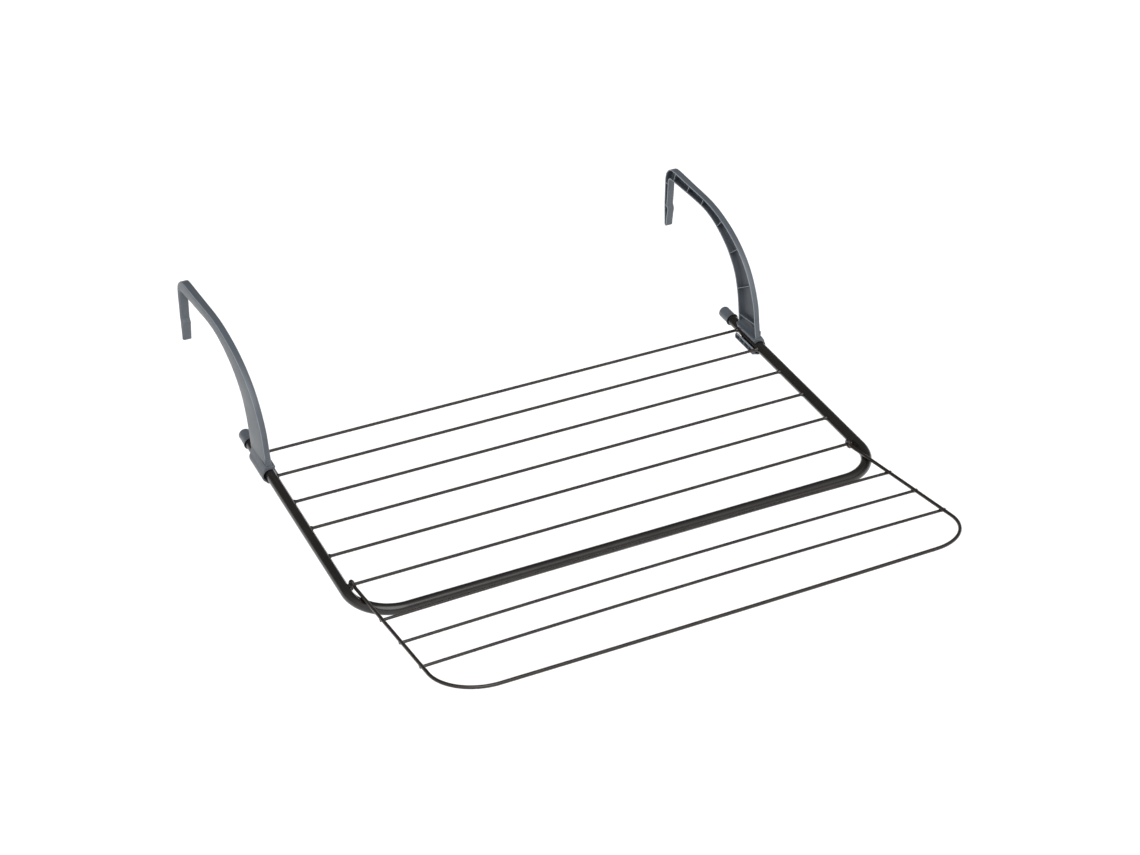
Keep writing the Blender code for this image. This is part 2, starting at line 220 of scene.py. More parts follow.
class Surface(Enum):
    """Every finish on the rack and in the studio."""

    # Black enamel sprayed on steel tube and stoved: a deep wet gloss with a faint orange peel,
    # whose dimples are about 1.5 mm apart.
    STOVED_ENAMEL = Finish(
        "stoved_black_enamel", "#141211", "#1c1917", (0.16, 0.25), 1.5, 1.5, 0.012, 30.0
    )
    # The same enamel dipped on drawn wire: thicker and thinner in places, so a little browner
    # and duller, with drips about 4 mm long.
    DIPPED_ENAMEL = Finish(
        "dipped_black_enamel", "#191311", "#261e1a", (0.22, 0.34), 1.48, 2.0, 0.02, 16.0
    )
    # Polypropylene moulded in a spark-eroded steel tool: a satin skin. The real grain is about
    # 0.2 mm, drawn at 0.6 mm so that it shows; faint flow streaks run along the arm.
    MOULDED_POLYPROPYLENE = Finish(
        "moulded_polypropylene", "#43494f", "#51575e", (0.34, 0.46), 1.49, 0.6, 0.02, 22.0, streak=0.3
    )
    # A darker copy of the same moulding: painted shade inside the channel, on the rib sides and in the
    # strip's cells; also coarser and duller.
    CORE_SIDE_POLYPROPYLENE = Finish(
        "core_side_polypropylene", "#363b42", "#434950", (0.5, 0.62), 1.49, 0.8, 0.035, 18.0, streak=0.3
    )
    # A paler copy of the same moulding: painted highlight, fine light lines on the rims, the crease, the
    # rib edges and the strip's top edge.
    TRIMMED_POLYPROPYLENE = Finish(
        "painted_highlight_polypropylene", "#6c7379", "#7d848a", (0.34, 0.46), 1.49, 0.6, 0.02, 12.0
    )
    # Matt paper roll: a white sweep that takes only a soft shadow.
    STUDIO_PAPER = Finish("studio_paper", "#f6f6f6", "#fbfbfb", (0.8, 0.9), 1.45, 4.0, 0.02, 400.0)


# ---------------------------------------------------------------- mesh tools

def new_object(name: str, bm: bmesh.types.BMesh, surface: Surface) -> bpy.types.Object:
    """Turn a bmesh into a smooth shaded object with its finish.

    Args:
        name: the piece's name.
        bm: the shape in world coordinates, which is freed.
        surface: the finish.

    Returns:
        The linked object.
    """
    bmesh.ops.recalc_face_normals(bm, faces=bm.faces)
    mesh = bpy.data.meshes.new(name)
    bm.to_mesh(mesh)
    bm.free()
    mesh.shade_smooth()
    mesh.set_sharp_from_angle(angle=math.radians(SHARP_EDGE_DEG))
    mesh.materials.append(surface.value.material())
    obj = bpy.data.objects.new(name, mesh)
    bpy.context.scene.collection.objects.link(obj)
    return obj


def publish(obj: bpy.types.Object, body: Body, slot: Slot, *nodes: str) -> None:
    """Put a piece on its body, and let it stand for its CAD nodes.

    Args:
        obj: the piece.
        body: the body that it rides on.
        slot: the record's material slot; not used.
        nodes: the CAD nodes that it replaces.
    """
    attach(obj, body.value)
    if nodes:
        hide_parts(*nodes)
    LOG.info("%s: %d faces on %s", obj.name, len(obj.data.polygons), body.value)


def loft(bm: bmesh.types.BMesh, rings: list[Ring], skins: dict[int, int] | None = None) -> None:
    """Skin a list of closed rings of equal count, and close both ends.

    Args:
        bm: the mesh that takes the shape.
        rings: the rings in order.
        skins: the material index by the number of the ring's point where a strip starts.
    """
    rows = [[bm.verts.new(point) for point in ring] for ring in rings]
    for first, second in zip(rows, rows[1:]):
        for i in range(len(first)):
            j = (i + 1) % len(first)
            face = bm.faces.new((first[i], first[j], second[j], second[i]))
            face.material_index = (skins or {}).get(i, 0)
    bm.faces.new(rows[0])
    bm.faces.new(rows[-1])


def turned(
    bm: bmesh.types.BMesh, start: Vector, direction: Vector, profile: list[Pair], sides: int
) -> None:
    """Turn a profile about an axis.

    Args:
        bm: the mesh that takes the shape.
        start: a point on the axis.
        direction: the axis.
        profile: distance along the axis and radius, both in metres.
        sides: the number of sides.
    """
    turn = direction.to_track_quat("Z", "Y")
    rings = []
    for along, radius in profile:
        ring = []
        for i in range(sides):
            a = 2 * math.pi * i / sides
            ring.append(start + turn @ Vector((radius * math.cos(a), radius * math.sin(a), along)))
        rings.append(ring)
    loft(bm, rings)


def swept(bm: bmesh.types.BMesh, path: list[Vector], radius: float, sides: int) -> None:
    """Sweep a round wire along a path, with its two cut ends rounded.

    Args:
        bm: the mesh that takes the shape.
        path: the axis.
        radius: the wire's radius.
        sides: the number of sides.
    """
    tangents = []
    for i in range(len(path)):
        tangents.append((path[min(i + 1, len(path) - 1)] - path[max(i - 1, 0)]).normalized())
    normal = tangents[0].orthogonal().normalized()
    frames = []
    for i, tangent in enumerate(tangents):
        if i:
            normal = tangents[i - 1].rotation_difference(tangent) @ normal
        frames.append((path[i], tangent, normal.copy()))
    stations = [(frames[0], -share, math.sqrt(1 - share * share)) for share in (0.6, 0.4, 0.2)]
    stations += [(each, 0.0, 1.0) for each in frames]
    stations += [(frames[-1], share, math.sqrt(1 - share * share)) for share in (0.2, 0.4, 0.6)]
    rings = []
    for (centre, tangent, across), ahead, scale in stations:
        up = tangent.cross(across)
        middle = centre + tangent * (ahead * radius)
        ring = []
        for k in range(sides):
            angle = 2 * math.pi * k / sides
            ring.append(middle + radius * scale * (math.cos(angle) * across + math.sin(angle) * up))
        rings.append(ring)
    loft(bm, rings)


def arc(centre: Pair, radius: float, start_deg: float, end_deg: float, steps: int) -> list[Pair]:
    """Points on a circle in two coordinates, both ends included.

    Args:
        centre: the circle's centre.
        radius: its radius.
        start_deg: the first angle.
        end_deg: the last angle.
        steps: the number of steps between them.

    Returns:
        The points.
    """
    points = []
    for i in range(steps + 1):
        angle = math.radians(start_deg + (end_deg - start_deg) * i / steps)
        points.append((centre[0] + radius * math.cos(angle), centre[1] + radius * math.sin(angle)))
    return points


def smooth_run(points: list[Vector], steps: int) -> list[Vector]:
    """Catmull-Rom points through a list of points.

    Args:
        points: the points to pass through.
        steps: steps between two of them.

    Returns:
        The finer run, both ends included.
    """
    line = [2 * points[0] - points[1]] + points + [2 * points[-1] - points[-2]]
    out = []
    for before, start, end, after in zip(line, line[1:], line[2:], line[3:]):
        for i in range(steps):
            t = i / steps
            square = (2 * before - 5 * start + 4 * end - after) * t * t
            cube = (3 * start - before - 3 * end + after) * t * t * t
            out.append(0.5 * (2 * start + (end - before) * t + square + cube))
    out.append(points[-1].copy())
    return out


def middle_of(node: str) -> Vector:
    """The centre of a CAD node's box."""
    low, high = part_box(node)
    return (low + high) / 2


# ---------------------------------------------------------------- places read from the frame

TUBE_X = middle_of("right_end_cap").x
TUBE_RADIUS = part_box("main_tube")[1].z
FRONT_TUBE_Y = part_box("main_tube")[0].y + TUBE_RADIUS
WIRE_YS = [middle_of(f"main_wire_{number}").y for number in range(1, 7)]
FIRST_WIRE_Y = WIRE_YS[0]
HINGE_Y = WIRE_YS[-1]
SLEEVE_Y = (WIRE_YS[0] + WIRE_YS[1]) / 2


# ---------------------------------------------------------------- the welded frame

@dataclass
class MainFrame:
    """The bent tube with its six welded wires."""

    tube_sides: int = 56
    corner_radius: float = 46.0
    corner_step_deg: float = 1.25
    cap_floor: float = 2.1
    wire_radius: float = 1.65
    wire_sunk: float = 0.5
    # A weld bead, as reach from the wire's end and radius
    bead_reach: tuple[Pair, ...] = (
        (0.0, 2.6), (0.7, 2.5), (1.3, 2.2), (1.9, 1.9), (2.7, 1.72), (3.8, 1.65)
    )
    hinge_bead_share: float = 0.45
    heavy_bead_wire: int = 2
    heavy_bead_scale: float = 1.35
    wing_x: float = 284.2
    wing_wire_radius: float = 1.75
    wing_tilt_deg: float = 10.4
    dent_flat: float = 2.6
    dent_fade: float = 3.0
    dent_rise: float = 3.0
    dent_soft: float = 0.7
    clearance: float = 0.3

    def stations(self) -> list[tuple[Vector, Vector]]:
        """Centres along the tube with the direction to the outside of its bend.

        Returns:
            The stations from the right end to the left.
        """
        radius = self.corner_radius * MM
        corner = Vector((TUBE_X - radius, FRONT_TUBE_Y + radius, 0))
        right = [(Vector((TUBE_X, -self.cap_floor * MM, 0)), Vector((1, 0, 0)))]
        count = round(90 / self.corner_step_deg)
        for i in range(count + 1):
            angle = math.radians(90 * i / count)
            outwards = Vector((math.cos(angle), -math.sin(angle), 0))
            right.append((corner + radius * outwards, outwards))
        left = [(Vector((-c.x, c.y, 0)), Vector((-o.x, o.y, 0))) for c, o in reversed(right)]
        return right + left

    def dented(self, point: Vector) -> Vector:
        """Press a point of the tube's skin down where the wing's side wire lies in its corner.

        Args:
            point: the point on the round tube.

        Returns:
            The point on the dented tube.
        """
        if point.y > FRONT_TUBE_Y + self.corner_radius * MM:
            return point
        fade = max(0.0, abs(abs(point.x) / MM - self.wing_x) - self.dent_flat) / self.dent_fade
        wire_z = (HINGE_Y - point.y) / MM * math.tan(math.radians(self.wing_tilt_deg))
        limit = wire_z - self.wing_wire_radius - self.clearance + self.dent_rise * fade * fade
        over = point.z / MM - limit
        if over > self.dent_soft:
            point.z = limit * MM
        elif over > -self.dent_soft:
            point.z -= (over + self.dent_soft) ** 2 / (4 * self.dent_soft) * MM
        return point

    def build_tube(self) -> bpy.types.Object:
        """The bent tube as one skin.

        Returns:
            The tube.
        """
        rings = []
        for centre, outwards in self.stations():
            ring = []
            for i in range(self.tube_sides):
                angle = 2 * math.pi * i / self.tube_sides
                offset = TUBE_RADIUS * (math.cos(angle) * outwards + math.sin(angle) * Vector((0, 0, 1)))
                ring.append(self.dented(centre + offset))
            rings.append(ring)
        bm = bmesh.new()
        loft(bm, rings)
        return new_object("frame_tube", bm, Surface.STOVED_ENAMEL)

    def build_wire(self, number: int, y: float) -> bpy.types.Object:
        """A straight wire whose ends spread into weld beads on the tube.

        Args:
            number: the wire's number, from the wall.
            y: its place.

        Returns:
            The wire.
        """
        end = TUBE_X - TUBE_RADIUS + self.wire_sunk * MM
        hinge = number == len(WIRE_YS)
        spread = self.hinge_bead_share if hinge else 1.0

        def bead(reach: float, radius: float, scale: float) -> Pair:
            """Scale one step of a bead.

            Args:
                reach: its distance from the wire's end.
                radius: the standard bead's radius there.
                scale: how much heavier than standard the bead is.

            Returns:
                The reach and radius in metres.
            """
            grown = self.wire_radius + (radius - self.wire_radius) * spread * scale
            return (reach * MM, grown * MM)

        left = [bead(reach, radius, 1.0) for reach, radius in self.bead_reach]
        heavy = self.heavy_bead_scale if number == self.heavy_bead_wire else 1.0
        right = [bead(reach, radius, heavy) for reach, radius in reversed(self.bead_reach)]
        profile = left + [(2 * end - reach, radius) for reach, radius in right]
        bm = bmesh.new()
        turned(bm, Vector((-end, y, 0)), Vector((1, 0, 0)), profile, WIRE_SIDES)
        return new_object(f"frame_wire_{number}", bm, Surface.DIPPED_ENAMEL)

    def build(self) -> None:
        """Build the tube and the wires and put them on the frame."""
        publish(self.build_tube(), Body.FRAME, Slot.ENAMEL, "main_tube")
        for number, y in enumerate(WIRE_YS, start=1):
            publish(self.build_wire(number, y), Body.FRAME, Slot.ENAMEL, f"main_wire_{number}")


@dataclass
class EndCap:
    """A moulded cup pushed over a tube end, with a rounded edge and a flared rim."""

    side: Side
    round_radius: float = 2.2
    lip: float = 0.5
    floor: float = 1.8
    gate_radius: float = 1.3
    gate_depth: float = 0.4
    gate_bevel: float = 0.3
    bore_play: float = 0.3
    sides: int = 64

    def build(self) -> None:
        """Turn the cap and put it on the frame."""
        node = f"{self.side.name.lower()}_end_cap"
        low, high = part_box(node)
        length = (high.y - low.y) / MM
        outer = (high.z - low.z) / 2 / MM - self.lip
        bore = TUBE_RADIUS / MM + self.bore_play
        profile = [(self.gate_depth, self.gate_radius - self.gate_bevel), (0.0, self.gate_radius)]
        for angle in range(0, 91, 10):
            back = self.round_radius * (1 - math.cos(math.radians(angle)))
            profile.append((back, outer - self.round_radius * (1 - math.sin(math.radians(angle)))))
        profile += [
            (length - 3.2 * self.lip, outer),
            (length - 2.2 * self.lip, outer + 0.2 * self.lip),
            (length - 1.2 * self.lip, outer + 0.9 * self.lip),
            (length - 0.5 * self.lip, outer + 1.6 * self.lip),
            (length, outer + 1.5 * self.lip),
            (length, bore + self.lip),
            (length - self.lip, bore + 0.3 * self.lip),
            (length - 3 * self.lip, bore),
            (self.floor, bore),
        ]
        bm = bmesh.new()
        start = Vector((self.side.value * abs(TUBE_X), high.y, 0))
        scaled = [(along * MM, radius * MM) for along, radius in profile]
        turned(bm, start, Vector((0, -1, 0)), scaled, self.sides)
        obj = new_object(f"{self.side.name.lower()}_cap", bm, Surface.MOULDED_POLYPROPYLENE)
        publish(obj, Body.FRAME, Slot.PLASTIC, node)


# ---------------------------------------------------------------- the wing

@dataclass
class Wing:
    """The fold-out wing: one bent wire with an eye at each end, and three welded crossbars."""

    wire_radius: float = 1.83
    half_pitch: float = 284.2
    length: float = 248.5
    corner_radius: float = 51.0
    tilt_deg: float = 10.4
    front_bow: float = 1.2
    hinge_radius: float = 1.5
    eye_clearance: float = 0.35
    eye_drift: float = 2.0
    eye_start_deg: float = 45.0
    eye_end_deg: float = 300.0
    eye_steps: int = 30
    # From the eye to the side wire, as shares of the eye's radius along and above
    eye_lead: tuple[Pair, ...] = (
        (0.93, 0.56), (1.15, 0.4), (1.42, 0.24), (1.75, 0.12), (2.15, 0.03), (2.6, 0.0)
    )
    corner_steps: int = 36
    front_steps: int = 12
    crossbars: tuple[float, ...] = (76.0, 126.0, 177.5)
    crossbar_radius: float = 1.55
    crossbar_bow: float = 2.4
    bar_steps: int = 40
    overhang: float = 6.5
    drop: float = 3.6
    # The crossbar's knob, as distances and radii in the bar's own radius
    knob: tuple[Pair, ...] = (
        (0.0, 1.0), (0.5, 1.08), (1.0, 1.2), (1.7, 1.27), (2.8, 1.27), (3.4, 1.17), (3.9, 0.9), (4.2, 0.5)
    )
    nugget_half_length: float = 1.6
    nugget_radius: float = 1.1
    nugget_sides: int = 14

    def at(self, x: float, along: float, above: float = 0.0) -> Vector:
        """A point on the wing at rest.

        Args:
            x: across the rack.
            along: out from the hinge.
            above: above the plane of the side wires.

        Returns:
            The world point in metres.
        """
        tilt = math.radians(self.tilt_deg)
        back = -along * math.cos(tilt) + above * math.sin(tilt)
        up = along * math.sin(tilt) + above * math.cos(tilt)
        return Vector((x * MM, HINGE_Y + back * MM, up * MM))

    def half_path(self) -> list[Vector]:
        """The right half of the wing's wire, from its cut end to the middle of the front run.

        Returns:
            The path's points.
        """
        loop = self.hinge_radius + self.eye_clearance + self.wire_radius
        eye = []
        for i in range(self.eye_steps + 1):
            share = 1 - i / self.eye_steps
            angle = math.radians(self.eye_start_deg + (self.eye_end_deg - self.eye_start_deg) * share)
            x = self.half_pitch + self.eye_drift * share
            eye.append(self.at(x, loop * math.cos(angle), loop * math.sin(angle)))
        eye += [self.at(self.half_pitch, along * loop, above * loop) for along, above in self.eye_lead]
        corner = (self.half_pitch - self.corner_radius, self.length - self.corner_radius)
        turn = arc(corner, self.corner_radius, 0, 90, self.corner_steps)
        bend = [self.at(x, along) for x, along in turn]
        front = []
        for i in range(1, self.front_steps + 1):
            share = 1 - i / self.front_steps
            bow = self.front_bow * (1 - share * share)
            front.append(self.at(corner[0] * share, self.length + bow))
        return eye + bend + front

    def build_frame(self) -> bpy.types.Object:
        """The wing's bent wire.

        Returns:
            The wire.
        """
        right = self.half_path()
        left = [Vector((-point.x, point.y, point.z)) for point in reversed(right[:-1])]
        bm = bmesh.new()
        swept(bm, right + left, self.wire_radius * MM, WIRE_SIDES)
        return new_object("wing_wire", bm, Surface.DIPPED_ENAMEL)

    def build_crossbar(self, number: int, along: float) -> bpy.types.Object:
        """A bowed crossbar with a round knob on its right end and its two welds.

        Args:
            number: the crossbar's number, from the hinge.
            along: its distance from the hinge.

        Returns:
            The crossbar.
        """
        r = self.crossbar_radius
        left_end = self.half_pitch + 0.5 * self.wire_radius
        length = left_end + self.half_pitch + self.overhang
        neck = length - self.knob[-1][0] * r
        profile = [(0.0, 0.55 * r), (0.25 * r, 0.85 * r), (0.7 * r, r)]
        profile += [(neck * i / self.bar_steps, r) for i in range(1, self.bar_steps)]
        profile += [(neck + ahead * r, scale * r) for ahead, scale in self.knob]
        bm = bmesh.new()
        start = Vector((-left_end * MM, 0, 0))
        scaled = [(ahead * MM, radius * MM) for ahead, radius in profile]
        turned(bm, start, Vector((1, 0, 0)), scaled, WIRE_SIDES)
        for vertex in bm.verts:
            share = min(1.0, abs(vertex.co.x / MM) / self.half_pitch)
            rise = self.crossbar_bow * (1 - share * share)
            across = vertex.co.copy()
            vertex.co = self.at(across.x / MM, along - across.y / MM, across.z / MM - self.drop + rise)
        for x in (-self.half_pitch, self.half_pitch):
            self.add_weld(bm, x, along)
        return new_object(f"wing_bar_{number}", bm, Surface.DIPPED_ENAMEL)

    def add_weld(self, bm: bmesh.types.BMesh, x: float, along: float) -> None:
        """A squeezed weld nugget between a side wire and a crossbar.

        Args:
            bm: the crossbar's mesh.
            x: the side wire's place.
            along: the crossbar's place.
        """
        profile = []
        for degrees in range(10, 171, 16):
            angle = math.radians(degrees)
            ahead = -self.nugget_half_length * math.cos(angle) * MM
            profile.append((ahead, self.nugget_radius * math.sin(angle) * MM))
        middle = self.at(x, along, -self.drop / 2)
        turned(bm, middle, Vector((1, 0, 0)), profile, self.nugget_sides)

    def build(self) -> None:
        """Build the wing and put it on its body."""
        publish(self.build_frame(), Body.WING, Slot.ENAMEL, "wing_frame")
        for number, along in enumerate(self.crossbars, start=1):
            bar = self.build_crossbar(number, along)
            publish(bar, Body.WING, Slot.ENAMEL, f"wing_crossbar_{number}")


# ---------------------------------------------------------------- hook arms

@dataclass
class HookArm:
    """A moulded hook arm: an open channel with cross ribs, in one with its C-shaped sleeve.

    The channel's outline is given as facing pairs of edge points, the first on its top or
    outer edge and the second on its lower or inner edge, back from the first wire and up
    from the tube's axis.
    """

    side: Side
    inner_x: float = -2.9
    outer_x: float = 4.1
    widening: float = 1.5
    splay: float = math.tan(math.radians(2.17))
    play: float = -0.7
    wall: float = 1.5
    corner: float = 1.7
    crown: float = 0.45
    rim: float = 0.5
    rib: float = 1.0
    rib_sunk: float = 0.25
    # The rib's section, as shares of half its thickness and millimetres in from its edge
    rib_edge: tuple[Pair, ...] = (
        (0.95, 0.6), (0.65, 0.18), (0.25, 0.0), (-0.25, 0.0), (-0.65, 0.18), (-0.95, 0.6)
    )
    foot_wall: float = 1.7
    foot_lift: float = 0.8
    foot_sunk: float = 0.1
    # Strips of the channel's section that take painted light: painted highlight on the two rims and the
    # crease, painted shade on the inside
    painted_highlight_strips: tuple[int, ...] = (*range(0, 5), 8, 9, *range(23, 28))
    painted_shade_strips: tuple[int, ...] = (*range(28, 39),)
    fillet: float = 1.1
    rim_curve: tuple[Pair, ...] = ((1.0, 0.0), (0.3, 0.3), (0.0, 1.0))
    fillet_curve: tuple[Pair, ...] = ((1.0, 0.0), (0.45, 0.12), (0.12, 0.45), (0.0, 1.0))
    rib_pairs: tuple[int, ...] = (1, 3, 5, 7, 9, 10, 11)
    steps: int = 6
    leg_steps: int = 3
    hook_steps: int = 14
    hook_centre: Pair = (183.0, 93.9)
    hook_radius: float = 20.9
    throat_centre: Pair = (188.4, 93.6)
    throat_radius: float = 7.0
    sleeve_length: float = 41.4
    bore_radius: float = 7.2
    sleeve_wall: float = 1.7
    sleeve_drop: float = 0.6
    sleeve_set_back: float = 2.2
    # The part of the section that swings past the first wire, and how far it stops short of it
    moving_x: float = 4.2
    moving_up: float = 1.5
    wire_room: float = 0.9
    sleeve_stations: int = 12
    edge_round: float = 0.4
    # The cored strip under the tube, and one of the ticks between its cells
    strip: tuple[Pair, ...] = (
        (-7.4, 0.1), (-8.9, -0.7), (-8.9, -1.5), (-7.7, -1.9), (-6.6, -5.4), (-9.4, -5.9), (-9.3, -7.2)
    )
    tick: tuple[Pair, ...] = ((-7.5, -1.2), (-8.8, -1.2), (-9.1, -3.0), (-9.3, -6.2), (-6.4, -6.2))
    # The strip's top edge takes the painted highlight, its recessed cells the painted shade.
    strip_skins: tuple[Skin, ...] = (
        Skin.PAINTED_HIGHLIGHT, Skin.PAINTED_HIGHLIGHT, Skin.CORE, Skin.CORE, Skin.CORE, Skin.SHOW, Skin.SHOW
    )
    tick_half: float = 0.45
    end_tick_inset: float = 0.7
    cells: int = 4
    pairs: tuple[tuple[Pair, Pair], ...] = (
        ((-40.0, 8.0), (3.15, 8.0)),
        ((-35.4, 26.0), (4.6, 18.6)),
        ((-30.2, 47.6), (7.5, 34.0)),
        ((-18.8, 68.6), (11.6, 48.6)),
        ((-4.0, 85.3), (19.5, 65.6)),
        ((15.4, 98.5), (35.0, 82.0)),
        ((35.5, 107.4), (50.6, 92.0)),
        ((56.8, 113.3), (68.8, 99.9)),
        ((80.0, 117.2), (87.6, 104.7)),
        ((104.0, 118.2), (110.0, 106.2)),
        ((141.0, 116.7), (147.5, 103.9)),
        ((177.5, 115.3), (183.0, 101.0)),
    )
    # Down the leg to the step, then the thicker pad to its foot
    leg_pairs: tuple[tuple[Pair, Pair], ...] = (
        ((204.0, 90.0), (195.4, 90.0)),
        ((204.0, 76.0), (196.1, 76.0)),
        ((204.0, 64.5), (197.2, 64.0)),
        ((204.0, 62.0), (196.8, 61.2)),
        ((203.9, 60.0), (195.1, 58.6)),
        ((203.8, 58.0), (194.2, 56.2)),
        ((203.3, 50.0), (195.6, 49.4)),
        ((202.6, 41.0), (196.9, 41.0)),
        ((202.1, 35.4), (197.7, 35.0)),
        ((201.6, 33.6), (198.2, 33.2)),
    )

    def at(self, back: float, up: float, outwards: float) -> Vector:
        """A point of the channel.

        Args:
            back: back from the first wire.
            up: up from the tube's axis.
            outwards: outwards from the tube's axis at the sleeve.

        Returns:
            The world point in metres.
        """
        y = FIRST_WIRE_Y + back * MM
        reach = y - SLEEVE_Y
        x = TUBE_X + outwards * MM * (1 + self.widening * reach) + self.splay * reach
        return Vector((self.side.value * x + self.play * MM, y, up * MM))

    def across(self, outwards: float, up: float, y: float) -> Vector:
        """A point of the sleeve: outwards and up in millimetres, and its place along the tube."""
        return Vector((self.side.value * (TUBE_X + outwards * MM) + self.play * MM, y, up * MM))

    def facing_points(self) -> tuple[list[tuple[Vector, Vector]], dict[int, int]]:
        """Facing edge points all along the arm, and where each given pair is in them.

        Returns:
            The fine list of edge points, and the index in it by pair number.
        """
        upper = smooth_run([Vector(pair[0]) for pair in self.pairs], self.steps)
        lower = smooth_run([Vector(pair[1]) for pair in self.pairs], self.steps)
        fine = list(zip(upper, lower))
        index = {number: number * self.steps for number in range(len(self.pairs))}
        outer = arc(self.hook_centre, self.hook_radius, 90, 0, self.hook_steps)
        inner = arc(self.throat_centre, self.throat_radius, 84, 0, self.hook_steps)
        fine += [(Vector(a), Vector(b)) for a, b in zip(outer[1:], inner[1:])]
        leg_top = smooth_run([Vector(pair[0]) for pair in self.leg_pairs], self.leg_steps)
        leg_front = smooth_run([Vector(pair[1]) for pair in self.leg_pairs], self.leg_steps)
        fine += list(zip(leg_top, leg_front))
        return fine, index

    def section(self, width: float) -> list[Pair]:
        """The channel's cross section: outwards, and from its first edge to its second.

        Args:
            width: the distance between the two edges.

        Returns:
            The points round the section.
        """
        r = min(self.corner, 0.42 * width)
        wall = min(self.wall, 0.24 * width)
        fillet = min(self.fillet, 0.2 * (width - 2 * wall))
        out = self.outer_x
        low = self.inner_x
        rim = self.rim
        inside = out - wall

        def half_rim(edge: float, way: float) -> list[Pair]:
            """Round one corner of a flange's free edge.

            Args:
                edge: the corner's place across the channel.
                way: the side that the flange lies on, 1 or -1.

            Returns:
                The corner's points.
            """
            return [(low + rim * a, edge + way * rim * b) for a, b in self.rim_curve]

        points = half_rim(wall, -1)
        points += half_rim(0.0, 1)[::-1]
        points += [(out - r + r * math.sin(a), r - r * math.cos(a)) for a in self.quarter()]
        for share in (0.25, 0.5, 0.75):
            points.append((out + self.crown * 4 * share * (1 - share), r + (width - 2 * r) * share))
        points += [(out - r + r * math.cos(a), width - r + r * math.sin(a)) for a in self.quarter()]
        points += half_rim(width, -1)
        points += half_rim(width - wall, 1)[::-1]
        curve = self.fillet_curve
        points += [(inside - fillet * a, width - wall - fillet * b) for a, b in curve]
        points.append((inside, 0.62 * width))
        points.append((inside - 0.4, 0.38 * width))
        points += [(inside - fillet * a, wall + fillet * b) for a, b in reversed(curve)]
        return points

    def quarter(self) -> list[float]:
        """Angles of a quarter turn, in radians."""
        return [math.radians(15 * i) for i in range(7)]

    def add_channel(self, bm: bmesh.types.BMesh) -> None:
        """The channel from the sleeve round the hook to the foot of its leg.

        Args:
            bm: the arm's mesh.
        """
        fine, _ = self.facing_points()
        rings = []
        for first, second in fine:
            width = (second - first).length
            way = (second - first) / width
            ring = []
            for outwards, along in self.section(width):
                point = first + way * along
                ring.append(self.at(point.x, point.y, outwards))
            rings.append(ring)
        # Painted highlight on the rims and crease, painted shade inside the channel.
        skins = {i: Skin.PAINTED_HIGHLIGHT.value for i in self.painted_highlight_strips}
        skins.update({i: Skin.CORE.value for i in self.painted_shade_strips})
        loft(bm, rings, skins)

    def add_rib(
        self, bm: bmesh.types.BMesh, first: Vector, second: Vector, thickness: float, depth: float
    ) -> None:
        """A cross rib with a rounded edge, let into both flanges.

        Args:
            bm: the arm's mesh.
            first: the facing point on the channel's first edge.
            second: the facing point on its second edge.
            thickness: the rib's thickness.
            depth: how far its edge sits inside the rims.
        """
        way = (second - first).normalized()
        ahead = Vector((-way.y, way.x))
        edge = self.inner_x + depth
        root = self.outer_x - 0.7 * self.wall
        shape = [(1.0, root)]
        shape += [(share, edge + inwards) for share, inwards in self.rib_edge]
        shape.append((-1.0, root))
        rings = []
        for point in (first + way * (0.6 * self.wall), second - way * (0.6 * self.wall)):
            ring = []
            for share, outwards in shape:
                place = point + ahead * (share * thickness / 2)
                ring.append(self.at(place.x, place.y, outwards))
            rings.append(ring)
        # Painted highlight along the rib's rounded edge, painted shade on its sides and root.
        skins = {i: Skin.PAINTED_HIGHLIGHT.value for i in range(1, 6)}
        skins.update({i: Skin.CORE.value for i in (0, 6, 7)})
        loft(bm, rings, skins)

    def add_ribs(self, bm: bmesh.types.BMesh) -> None:
        """The ribs of the arm, of the leg, and the wall that closes its foot.

        Args:
            bm: the arm's mesh.
        """
        fine, index = self.facing_points()
        for number in self.rib_pairs:
            first, second = fine[index[number]]
            self.add_rib(bm, first, second, self.rib, self.rib_sunk)
        for first, second in (self.leg_pairs[0], self.leg_pairs[4]):
            self.add_rib(bm, Vector(first), Vector(second), self.rib, self.rib_sunk)
        foot = self.leg_pairs[-1]
        lift = Vector((0.0, self.foot_lift))
        first, second = Vector(foot[0]) + lift, Vector(foot[1]) + lift
        self.add_rib(bm, first, second, self.foot_wall, self.foot_sunk)

    def add_floor(self, bm: bmesh.types.BMesh) -> None:
        """The channel's floor, which sweeps out to the saddle's thin edge.

        Args:
            bm: the arm's mesh.
        """
        slope = [(3.4, 17.5), (2.4, 15.0), (1.4, 12.6), (0.0, 10.9), (-2.2, 10.0), (-4.9, 9.7)]
        section = slope + [(-5.2, 8.4), (3.4, 8.0)]
        rings = []
        for back in (-38.6, -24.0, -10.0, 2.6):
            rings.append([self.across(x, up, FIRST_WIRE_Y + back * MM) for x, up in section])
        loft(bm, rings)

    def sleeve_section(self, share: float) -> list[Pair]:
        """The sleeve's C-shaped section at a share of its length from the front.

        Args:
            share: 0 at the front end, 1 at the back.

        Returns:
            Points outwards and up.
        """
        centre = (0.0, -self.sleeve_drop)
        rise = 0.4 + 6.5 * share ** 1.4
        outside = arc(centre, self.bore_radius + self.sleeve_wall, -115, 34, 30)
        saddle = [(6.9, 6.6 + 0.2 * rise), (5.4, 8.9 + 0.55 * rise)]
        saddle += [(4.35, 10.6 + rise), (2.4, 10.6 + rise)]
        top = [(2.0, 9.9), (-2.0, 9.7), (-4.8, 10.0), (-5.6, 10.2), (-6.3, 9.7), (-6.4, 8.9)]
        bore = arc(centre, self.bore_radius, 134, -178, 40)
        return outside + saddle + top + bore + list(self.strip)

